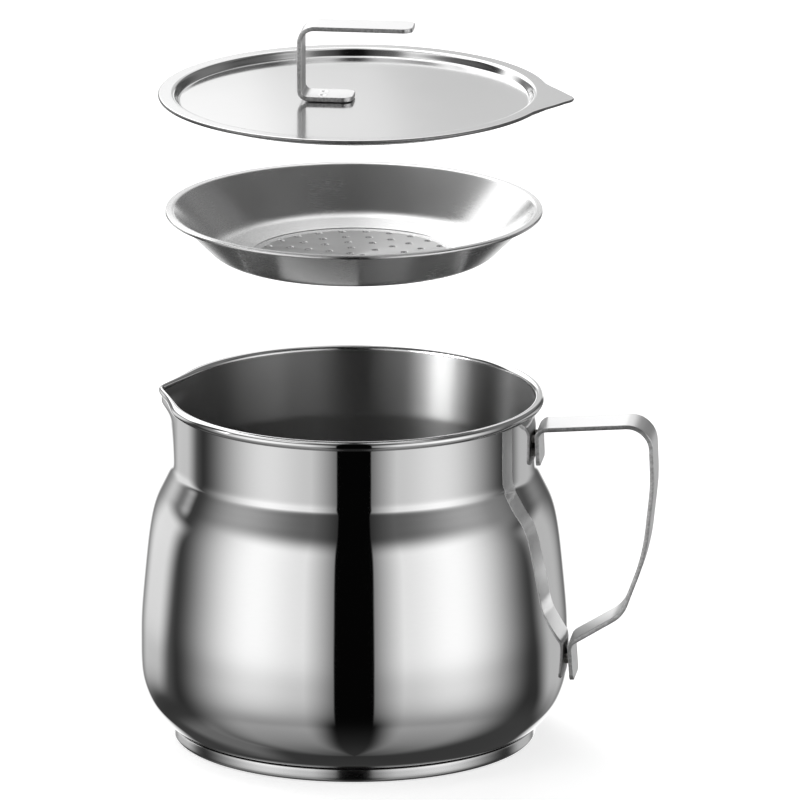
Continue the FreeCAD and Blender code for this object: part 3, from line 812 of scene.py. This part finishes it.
total = 0.0
beside_gap = g.math("ADD", g.ramp(aaz, 11.0, 27.0, 0.22, 0.78, "LINEAR"), g.ramp(aaz, 27.0, 55.0, 0.0, 0.22))
lights = [
    # two soft boxes in front with a dark gap between them, where the camera stands
    panel(1.36, g.ramp(aaz, 10.2, 11.2), beside_gap, g.ramp(aaz, 56.0, 112.0, 1.0, 0.04),
          g.ramp(el, -34.0, -6.0), g.ramp(el, 15.0, 37.0, 1.0, 0.13)),
    # a higher box on the left and a weaker one on the right
    panel(1.0, band(az, -104.0, 8.0, -40.0, 8.0), band(el, 42.0, 3.0, 60.0, 8.0)),
    panel(0.5, band(az, 36.0, 8.0, 62.0, 8.0), band(el, 42.0, 3.0, 58.0, 8.0)),
    # the table in front, lit by them
    panel(0.50, g.ramp(aaz, 10.0, 30.0), g.ramp(aaz, 66.0, 112.0, 1.0, 0.12), g.ramp(el, -40.0, -14.0, 1.0, 0.0),
          g.ramp(el, -92.0, -28.0, 0.0, 1.0, "LINEAR")),
    # an upright strip on either side, a little behind
    panel(0.72, band(tilted(left, -0.6), -146.0, 9.0, -115.5, 8.0), band(el, -18.0, 7.0, 6.0, 5.0)),
    panel(0.56, band(tilted(right_a, 0.7), 112.0, 9.0, 142.0, 11.0), band(el, -26.0, 9.0, 6.0, 5.0)),
    # the bright wall behind, brighter on the left
    panel(1.80, band(left, -172.0, 9.0, -118.0, 5.0), band(el, 14.0, 6.0, 72.0, 8.0)),
    panel(1.20, band(left, -121.0, 5.0, -98.0, 6.0), band(el, 45.0, 5.0, 72.0, 8.0)),
    panel(0.66, band(right_a, 160.0, 7.0, 190.0, 9.0), band(el, 10.0, 5.0, 26.0, 10.0)),
    panel(0.92, band(right_a, 160.0, 7.0, 190.0, 9.0), band(el, 26.0, 10.0, 66.0, 8.0)),
    panel(0.30, band(right_a, 166.0, 6.0, 196.0, 8.0), band(el, 23.0, 5.0, 50.0, 6.0)),
    panel(0.55, band(right_a, 154.0, 7.0, 198.0, 8.0), band(el, 42.0, 6.0, 66.0, 8.0)),
    # white paper on the table at the far left
    panel(0.12, band(left, -140.0, 10.0, -98.0, 7.0), band(el, -66.0, 6.0, -38.0, 6.0)),
    # a bright sheet low down straight behind
    panel(1.05, band(right_a, 161.0, 3.0, 199.0, 3.0), band(el, -30.0, 6.0, 8.0, 5.0)),
    panel(0.20, band(left, -200.0, 6.0, -118.0, 8.0), g.ramp(el, -30.0, -5.0), g.ramp(el, 0.0, 14.0, 1.0, 0.0)),
    panel(0.06, band(right_a, 146.0, 6.0, 185.0, 6.0), g.ramp(el, -30.0, -5.0), g.ramp(el, 0.0, 14.0, 1.0, 0.0)),
    # a dim screen on the right, a little behind
    panel(0.18, band(right_a, 100.0, 10.0, 164.0, 8.0), band(el, 14.0, 8.0, 64.0, 6.0)),
    # the room
    panel(0.035, g.ramp(el, -90.0, -20.0, 1.0, 0.05)),
    g.ramp(el, 55.0, 75.0, 0.0, 0.045),
    # and its ceiling, with the dark gap running on to the back
    panel(0.75, g.ramp(el, 60.0, 74.0), g.ramp(aaz, 14.0, 40.0)),
]
for v in lights:
    total = g.math("ADD", v, total)
bg = g.new("ShaderNodeBackground")
g.link(total, bg.inputs["Strength"])
bg.inputs["Color"].default_value = (1, 1, 1, 1)
seen = g.new("ShaderNodeBackground")
seen.inputs["Color"].default_value = (1, 1, 1, 1)
seen.inputs["Strength"].default_value = 1.1
lp = g.new("ShaderNodeLightPath")
ms = g.new("ShaderNodeMixShader")
g.link(lp.outputs["Is Camera Ray"], ms.inputs[0])
g.link(bg.outputs[0], ms.inputs[1])
g.link(seen.outputs[0], ms.inputs[2])
g.link(ms.outputs[0], out.inputs["Surface"])



def soft_box(name, at, aim, width, height, radiance, spread=180.0):
    """Small rectangular soft box with a grid that narrows its beam to the given
    spread; at and aim are (right, toward, up) in millimetres."""
    u, v, w = Vector(right), Vector(toward), Vector((0, 0, 1))
    here, there = [(u * q[0] + v * q[1] + w * q[2]) * MM for q in (at, aim)]
    lamp = bpy.data.lights.new(name, "AREA")
    lamp.shape = "RECTANGLE"
    lamp.size, lamp.size_y = width * MM, height * MM
    lamp.spread = math.radians(spread)
    lamp.energy = radiance * math.pi * width * height * MM * MM
    o = bpy.data.objects.new(name, lamp)
    bpy.context.scene.collection.objects.link(o)
    o.location = here
    o.rotation_mode = "QUATERNION"
    o.rotation_quaternion = (there - here).to_track_quat("-Z", "Y")
    o.visible_camera = False
    return o


# small soft boxes at the left, between the pot and the lifted strainer: two shine
# into the pot, one before the other, and one up at the underside of the strainer
soft_box("box_into_pot", (-86.0, 15.0, 160.0), (33.0, -56.0, 110.0), 34.0, 56.0, 1.25, 60.0)
soft_box("box_into_pot_wide", (-88.0, 16.0, 160.0), (33.0, -56.0, 110.0), 84.0, 56.0, 0.75, 70.0)
soft_box("box_under_strainer", (-20.0, 37.0, 150.0), (-20.0, 39.0, 188.0), 44.0, 16.0, 0.50)
# a large one far behind at the left and one before it, for the lid's disc
soft_box("box_far_behind", (-520.0, -1400.0, 860.0), (-20.0, 0.0, 232.0), 1060.0, 560.0, 0.25)
soft_box("box_far_behind_wide", (-455.0, -1390.0, 860.0), (45.0, 10.0, 232.0), 1060.0, 560.0, 0.25)

scene = bpy.context.scene
scene.view_settings.view_transform = "Standard"
scene.view_settings.look = "None"
scene.view_settings.exposure = 0.0
scene.view_settings.gamma = 1.0

# -------------------------------------------------------------------- camera
cam_data = bpy.data.cameras.new("camera")
cam_data.type = "PERSP"
cam_data.sensor_width = 36.0
cam_data.lens = 36.0 * 6500.0 / 294.4
cam_data.clip_start, cam_data.clip_end = 0.1, 200.0
camera = bpy.data.objects.new("camera", cam_data)
scene.collection.objects.link(camera)
back = Vector((math.sin(AZ) * math.cos(EL), -math.cos(AZ) * math.cos(EL), math.sin(EL)))
target = Vector((16.87 * math.cos(AZ), 16.87 * math.sin(AZ), 127.2)) * MM
camera.location = target + back * 6.5
camera.rotation_mode = "QUATERNION"
camera.rotation_quaternion = (-back).to_track_quat("-Z", "Y")
scene.camera = camera
